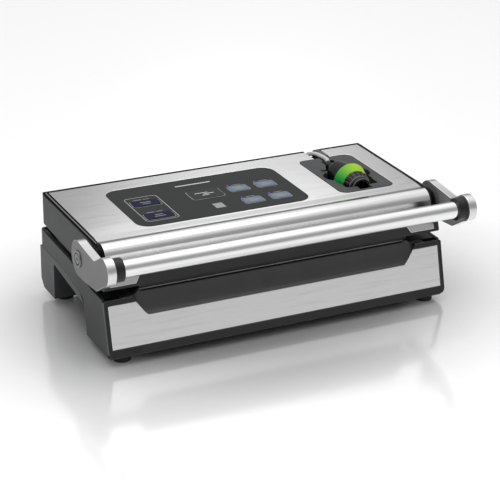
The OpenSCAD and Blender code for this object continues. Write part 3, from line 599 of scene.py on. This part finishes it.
outer = [(rear_edge - rear_trim, top_z), (60, top_z), (0, top_z)]
for i in range(int((arc_y - fine_from) / -fine_step) + 1):
    y = fine_from - fine_step * i
    outer.append((y, top_z - crease(y)))
for i in range(1, arc_steps + 1):
    a = turn * i / arc_steps
    y = arc_y - bend_r * math.sin(a)
    outer.append((y, arc_z + bend_r * math.cos(a) - crease(y)))
outer.append((bend_y - (top_z - lip_z) * slope, lip_z))
inner = []
lip_widening = 1.063  # the sheet is cut level at the lip, so it is wider there by the slope
for i, (y, z) in enumerate(outer):
    a, b = outer[max(i - 1, 0)], outer[min(i + 1, len(outer) - 1)]
    d = Vector((b[0] - a[0], b[1] - a[1])).normalized()
    inner.append((y - d.y * sheet, z + d.x * sheet) if i < len(outer) - 1 else (y + sheet * lip_widening, z))
inner[0] = (rear_edge - rear_trim, top_z - sheet)
skin_outline = outer + inner[::-1]
skin = piece(
    "steel_skin", *prism(skin_outline, -skin_half + side_trim, skin_half - side_trim, "x"),
    "brushed_steel", "lid", smooth=0,
)
panel_low, panel_high = mm("control_overlay")
dock_low, dock_high = mm("dock_tray")
panel_mid = (panel_low + panel_high) / 2
dock_mid_x, dock_mid_y = (dock_low.x + dock_high.x) / 2, (dock_low.y + dock_high.y) / 2
hose_notch = [(119.3, 80), (139, 80), (139, 115), (119.3, 115)]
lip_cut = [(-161.5, 70), (161.5, 70), (158.5, lip_z), (147.4, 96), (-147.4, 96), (-158.5, lip_z)]
through_top = (100, 130)
panel_hole = rounded(panel_mid.x, panel_mid.y, 197.8, 106.8, 15.2, 12)
dock_hole = rounded(dock_mid_x, dock_mid_y, 65.9, 105.9, 9.6, 10)
cut(
    skin,
    prism(panel_hole, *through_top, "z"),
    prism(dock_hole, *through_top, "z"),
    prism(hose_notch, *through_top, "z"),
    prism(lip_cut, -90, -50, "y"),
)
skin.data.materials.clear()
skin.data.materials.append(MATERIALS["brushed_steel"])
skin.data.shade_smooth()
skin.data.set_sharp_from_angle(angle=math.radians(25))
edges(skin, 0.45, 3, 40, "edge_metal")
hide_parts("lid_skin")

# ---------------------------------------------------------------- shells and handle
def raised_face(o, width, height):
    """Lifts the largest face that looks forward, on a chamfer all round it in the lighter edge material, a
    painted highlight.
    """
    bm = bmesh.new()
    bm.from_mesh(o.data)
    face = max(bm.faces, key=lambda f: f.calc_area() * (f.normal.y < 0))
    made = bmesh.ops.inset_region(
        bm, faces=[face], thickness=width * MM, depth=height * MM, use_even_offset=True,
    )
    # the chamfer shows the lighter edge material: painted highlight
    for f in made["faces"]:
        f.material_index = 1
    bm.to_mesh(o.data)
    bm.free()
    o.data.set_sharp_from_angle(angle=math.radians(20))


# each shell's rounded edges show a lighter material: a painted highlight
EDGE_HIGHLIGHTS = {  # the material that a shell's rounded edges show
    "base_upper_shell": "edge_plastic", "base_lower_shell": "edge_plastic", "front_panel": "edge_metal",
    "handle_arm_left": "edge_metal", "handle_arm_right": "edge_metal", "front_bezel": "edge_black",
    "connector_nozzle": "edge_black", "connector_body": "edge_black",
}
WIDTHS = {  # how far the edges of each shell are rounded
    "front_bezel": 0.5, "base_upper_shell": 0.6, "base_lower_shell": 0.4, "lid_housing": 0.45,
    "handle_arm_left": 1.3, "handle_arm_right": 1.3, "front_panel": 0.12, "dock_tray": 0.5,
    "hose_guide": 0.5, "connector_body": 0.4, "connector_ring": 0.7, "connector_nozzle": 0.5,
    "handle_collar_left": 0.6, "handle_collar_right": 0.6, "control_overlay": 0.15, "rubber_feet": 0.3,
}
FUNCTION_KEYS = ("rear_left", "rear_right", "front_left", "front_right")
for name, width in WIDTHS.items():
    shell = smooth_copy(name, width, segments=3 if width > 1 else 2, highlight_material=EDGE_HIGHLIGHTS.get(name))
    if name == "front_panel":
        raised_face(shell, 0.6, 0.45)
key_edge = 0.15
for place in ("start_stop", "mode_upper", "mode_lower") + FUNCTION_KEYS:
    smooth_copy("key_" + place, key_edge)

# the step along each side of the lid's rim, coloured light grey as a painted highlight line
lid_top = mm("lid_housing")[1].z
bead_section = ((190.1, -0.1), (190.1, 0.3), (190.3, 0.32), (191.0, -0.1))  # X, and height over the lid's top
for side, word in ((-1, "left"), (1, "right")):
    bead = [(side * x, y, lid_top + up_by) for y in (rear_edge - 1, -42) for x, up_by in bead_section]
    around = [(i, (i + 1) % 4, 4 + (i + 1) % 4, 4 + i) for i in range(4)]
    piece(
        "rim_step_" + word, bead, around + [(0, 1, 2, 3), (4, 5, 6, 7)],
        "housing_plastic", "lid", "edge_plastic", smooth=0,
    )

# thin bright line along the top of the scoop, a painted highlight, and the dark strip under it, a painted
# shadow in the gap below the lid
line = [(-64.2, 70.6), (-63.2, 70.6), (-63.2, 71.5), (-64.2, 71.5)]
piece("seam_highlight_line", *prism(line, -154, 150, "x"), "bezel_plastic", "base", "edge_light", smooth=0)
# painted shadow: a black strip where the gap under the lid lies in shade
strip = [(-64.3, 68.6), (-63.65, 70.6), (-63.2, 70.6), (-63.8, 68.6)]
piece("seam_shadow_strip", *prism(strip, -153, 150, "x"), "bezel_plastic", "base", "seam_black", smooth=0)

axle_y, axle_z = -35, 102
CAP_FACE = [  # depth below the cap's outer face, and radius
    (0.5, 9), (0.12, 8.8), (0, 8.4), (0, 7.1), (0.25, 6.8), (0.8, 6.6), (0.8, 5.6), (0.2, 5.3), (0.1, 2.2),
    (0.7, 1.9), (0.7, 0.01),
]
GROOVES = (5, 6, 7, 10, 11)  # the stretches of that profile that lie in its ring groove and its middle hollow
for side, word in ((-1, "left"), (1, "right")):
    low, high = mm("pivot_cap_" + word)
    inside, outside = (high.x, low.x) if side < 0 else (low.x, high.x)
    profile = [(inside, 9)] + [(outside - side * depth, r) for depth, r in CAP_FACE] + [(inside, 0.01)]
    cap = piece("pivot_ring_" + word, *turned(profile, (0, axle_y, axle_z), "x", 64), "bright_metal", "handle")
    # the ring groove and middle hollow are coloured black: painted shade in the recesses
    cap.data.materials.append(MATERIALS["collar_plastic"])
    for face in cap.data.polygons:
        if face.index % len(profile) in GROOVES:
            face.material_index = 1
    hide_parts("pivot_cap_" + word)

# ---------------------------------------------------------------- connector
ring_low, ring_high = mm("connector_ring")
con_x, con_z = (ring_low.x + ring_high.x) / 2, (ring_low.z + ring_high.z) / 2
rib_count, rib_half = 16, 1.15
# place along Y, and radius
rib_section = ((-2.9, 12.2), (-2.9, 13.1), (-2.2, 13.6), (5.0, 15.9), (5.5, 15.4), (5.5, 14.4))
ribs_v, ribs_f = [], []
for i in range(rib_count):
    a = 2 * math.pi * i / rib_count
    for along, r in rib_section:
        for w in (-rib_half, rib_half):
            u, v = r * math.cos(a) - w * math.sin(a), r * math.sin(a) + w * math.cos(a)
            ribs_v.append((con_x + u, along, con_z + v))
    n = 2 * len(rib_section) * i
    for k in range(5):
        ribs_f.append((n + 2 * k, n + 2 * k + 1, n + 2 * k + 3, n + 2 * k + 2))
    ribs_f.append((n + 10, n + 11, n + 1, n))
    ribs_f.append(tuple(n + 2 * k for k in range(6)))
    ribs_f.append(tuple(n + 2 * k + 1 for k in range(6)))
ribs = piece("grip_ribs", ribs_v, ribs_f, "connector_black", "connector", smooth=0)
# the ribs' rounded edges show a lighter colour: painted highlight
edges(ribs, 0.3, 2, 30, "edge_black")
# a light grey ring at the nozzle's mouth: a painted highlight
piece(
    "nozzle_rim",
    *turned([(-3.5, 12.4), (-3.3, 12.85), (-2.8, 13), (-2.4, 12.8), (-2.3, 12.4)], (con_x, 0, con_z), "y", 72),
    "connector_black", "connector", "edge_black", smooth=60,
)

# ---------------------------------------------------------------- panel print, with plain strokes for lettering
print_lift = 0.03
print_z = top_z + print_lift


def frame_line(x, y, w, d, r, thick, z, outside=False):
    """A line of even thickness round a rounded rectangle, inside its outline or outside it."""
    grow = thick if outside else 0
    a = rounded(x, y, w + 2 * grow, d + 2 * grow, r + grow, 6)
    b = rounded(x, y, w + 2 * grow - 2 * thick, d + 2 * grow - 2 * thick, max(0.1, r + grow - thick), 6)
    n = len(a)
    verts = [(*p, z) for p in a] + [(*p, z) for p in b]
    return verts, [(i, (i + 1) % n, n + (i + 1) % n, n + i) for i in range(n)]


def bar(x, y, w, d, z):
    """A plain stroke w by d about a centre."""
    corners = ((-1, -1), (1, -1), (1, 1), (-1, 1))
    return [(x + across * w / 2, y + along * d / 2, z) for across, along in corners], [(0, 1, 2, 3)]


def joined(*shapes):
    """Several shapes as the vertices and faces of one."""
    verts, faces = [], []
    for v, f in shapes:
        faces += [tuple(i + len(verts) for i in face) for face in f]
        verts += v
    return verts, faces


def middle(name):
    """The middle of a node's box in millimetres."""
    low, high = mm(name)
    return (low + high) / 2


# millimetres in the machine's frame: x, y, width and depth
marks = [frame_line(-104.5, 21.6, 37, 66.7, 4.5, 0.55, print_z)]
dim = []
for word in ("upper", "lower"):
    c = middle("key_mode_" + word)
    marks.append(frame_line(c.x, c.y, 31.6, 16.1, 2.8, 0.4, print_z, True))
    dim += [bar(c.x - 5.5, c.y + 11.4, 9, 1.1, print_z), bar(c.x + 4.5, c.y + 11.4, 7, 1.1, print_z)]
for word in FUNCTION_KEYS:
    c = middle("key_" + word)
    marks.append(frame_line(c.x, c.y, 22.6, 15.6, 2.8, 0.35, print_z, True))
    dim += [bar(c.x + 1.5, c.y + 10.8, 10, 1.0, print_z)]
marks.append(bar(-37.5, 67, 41, 2.2, print_z))
dim.append(bar(-36.5, 0.5, 11, 13, print_z))
c = middle("key_start_stop")
marks.append(frame_line(c.x, c.y, 36.6, 23.6, 2.8, 0.45, print_z, True))
piece("panel_lines", *joined(*marks), "overlay_grey", "lid", "print_white", smooth=0)
piece("panel_labels", *joined(*dim), "overlay_grey", "lid", "print_dim", smooth=0)


def key_marks(name, shapes, material="print_dim"):
    """Strokes on a key, which move with it: each is x and y from the key's middle, width and depth."""
    c = middle(name)
    z = mm(name)[1].z + print_lift
    strokes = joined(*(bar(c.x + x, c.y + y, w, d, z) for x, y, w, d in shapes))
    piece(name + "_mark", *strokes, slot_of[name], name, material, smooth=0)


key_marks("key_start_stop", [(-4, 3, 15, 1.4), (3.5, -0.2, 12, 1.4), (-1, -3.6, 8, 1.4)], "print_white")
for place in FUNCTION_KEYS:
    key_marks("key_" + place, [(-1.5, 2.6, 11, 1.1), (2, -0.2, 12, 1.1), (-0.5, -3.0, 9, 1.1)])
key_marks("key_mode_upper", [(0, 2.2, 12, 1.2), (0, -2.2, 9, 1.2)])
key_marks("key_mode_lower", [(0, 2.2, 9, 1.2), (0, -2.2, 12, 1.2)])

# ---------------------------------------------------------------- studio
scene = bpy.context.scene
scene.view_settings.view_transform = "Standard"
floor_mesh = bpy.data.meshes.new("floor")
floor_half = 6
floor_corners = [(x * floor_half, y * floor_half, 0) for x, y in ((-1, -1), (1, -1), (1, 1), (-1, 1))]
floor_mesh.from_pydata(floor_corners, [], [(0, 1, 2, 3)])
floor = bpy.data.objects.new("floor", floor_mesh)
scene.collection.objects.link(floor)
m, t, s = new_material("floor")
s.inputs["Roughness"].default_value = 0.5
s.inputs["Coat Weight"].default_value = 1
s.inputs["Coat Roughness"].default_value = 0.13
s.inputs["Coat IOR"].default_value = 4.0
s.inputs["Emission Color"].default_value = (1, 1, 1, 1)
where = t.nodes.new("ShaderNodeTexCoord")
# the floor brightens away from the machine, with painted shadow near it and painted light further out: the
# distance is 1 on an ellipse larger than it, in metres
flat = t.nodes.new("ShaderNodeMapping")
flat.vector_type = "TEXTURE"
ellipse_centre, ellipse_half_axes = (0, 0.01, 0), (0.33, 0.25, 1)
flat.inputs["Location"].default_value = ellipse_centre
flat.inputs["Scale"].default_value = ellipse_half_axes
away = t.nodes.new("ShaderNodeVectorMath")
away.operation = "LENGTH"
link(t, where.outputs["Object"], flat.inputs["Vector"])
link(t, flat.outputs["Vector"], away.inputs[0])
# painted light: the floor glows more the further it is from the machine
link(t, remap(t, away.outputs["Value"], 0.0, 0.56, 0.55, 1.2), s.inputs["Emission Strength"])
# painted shadow: a darker colour close to the machine
floor_painted_shade = remap(t, away.outputs["Value"], 0, 1, 0.4, 0.9)
link(t, mix(t, floor_painted_shade, (0.5, 0.5, 0.5), (0.86, 0.86, 0.86)), s.inputs["Base Color"])
floor.data.materials.append(m)
floor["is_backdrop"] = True


def area(name, at, aim, size, power):
    """A rectangular light at one point that faces another."""
    light = bpy.data.lights.new(name, "AREA")
    light.shape = "RECTANGLE"
    light.size, light.size_y = size
    light.energy = power
    o = bpy.data.objects.new(name, light)
    scene.collection.objects.link(o)
    o.location = at
    o.rotation_mode = "QUATERNION"
    o.rotation_quaternion = (Vector(aim) - Vector(at)).to_track_quat("-Z", "Y")


area("top", (0.0, 0.2, 1.5), (0, 0, 0.05), (1.4, 1.0), 5.0)

world = bpy.data.worlds.new("studio")
scene.world = world
world.use_nodes = True
wt = world.node_tree
back = wt.nodes["Background"]
where = wt.nodes.new("ShaderNodeTexCoord")
split = wt.nodes.new("ShaderNodeSeparateXYZ")
link(wt, where.outputs["Generated"], split.inputs["Vector"])


world_strength = 2.0  # a ramp's colours stop at 1, so its brightness is divided by this and comes back here


def height_ramp(stops):
    """Brightness by the height of a direction, from the horizon at 0 to straight up at 1."""
    curve = wt.nodes.new("ShaderNodeValToRGB")
    e = curve.color_ramp.elements
    e[0].position, e[1].position = stops[0][0], stops[-1][0]
    for p, _ in stops[1:-1]:
        e.new(p)
    for element, (_, v) in zip(e, stops):
        element.color = (v / world_strength, v / world_strength, v / world_strength, 1)
    link(wt, split.outputs["Z"], curve.inputs["Fac"])
    return curve.outputs["Color"]


front = height_ramp([
    (0, 0.76), (0.08, 0.6), (0.16, 0.4), (0.55, 0.37), (0.7, 0.52), (0.8, 0.8), (0.9, 1.15), (1, 1.15),
])
behind = height_ramp([(0, 0.26), (0.2, 0.28), (0.34, 0.36), (0.46, 0.5), (0.56, 0.9), (0.7, 1.15), (1, 1.15)])
# the two ramps meet at the sides, and a soft bright spot lies in one direction behind the machine
sky = mix(wt, remap(wt, split.outputs["Y"], 0, 1, -0.25, 0.25), front, behind)
glow = wt.nodes.new("ShaderNodeVectorMath")
glow.operation = "DOT_PRODUCT"
glow.inputs[1].default_value = (0.402, 0.815, 0.418)
link(wt, where.outputs["Generated"], glow.inputs[0])
spot = remap(wt, glow.outputs["Value"], 0, 0.58, 0.9943, 0.9996)
total = wt.nodes.new("ShaderNodeMix")
total.data_type = "RGBA"
total.blend_type = "ADD"
total.inputs["Factor"].default_value = 1
link(wt, sky, total.inputs[6])
link(wt, spot, total.inputs[7])
link(wt, total.outputs[2], back.inputs["Color"])
back.inputs["Strength"].default_value = world_strength

low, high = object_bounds()
